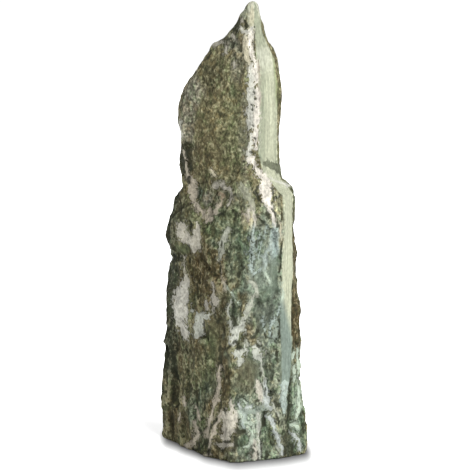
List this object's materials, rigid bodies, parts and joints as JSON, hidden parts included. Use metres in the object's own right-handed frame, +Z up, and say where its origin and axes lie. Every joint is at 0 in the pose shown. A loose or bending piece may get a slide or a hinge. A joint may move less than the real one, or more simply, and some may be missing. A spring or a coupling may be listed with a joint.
{
  "type": "stone monolith",
  "caption": "Upright rough schist monolith with a stepped shoulder, a smooth pale side and a pointed top, flat at the foot, standing free as a garden feature.",
  "frame": {"origin": "middle of the foot's bounding rectangle, on the plane that the stone stands on", "axes": "+Z up along the stone, +X to the right of the broad front face, -Y out of the front"},
  "size_m": [0.3947, 0.3026, 1.202],
  "materials": {
    "green_schist": "rough broken rock, olive and grey-green with pale quartz veins"
  },
  "bodies": {
    "root": {"stone": "green_schist"}
  },
  "joints": []
}
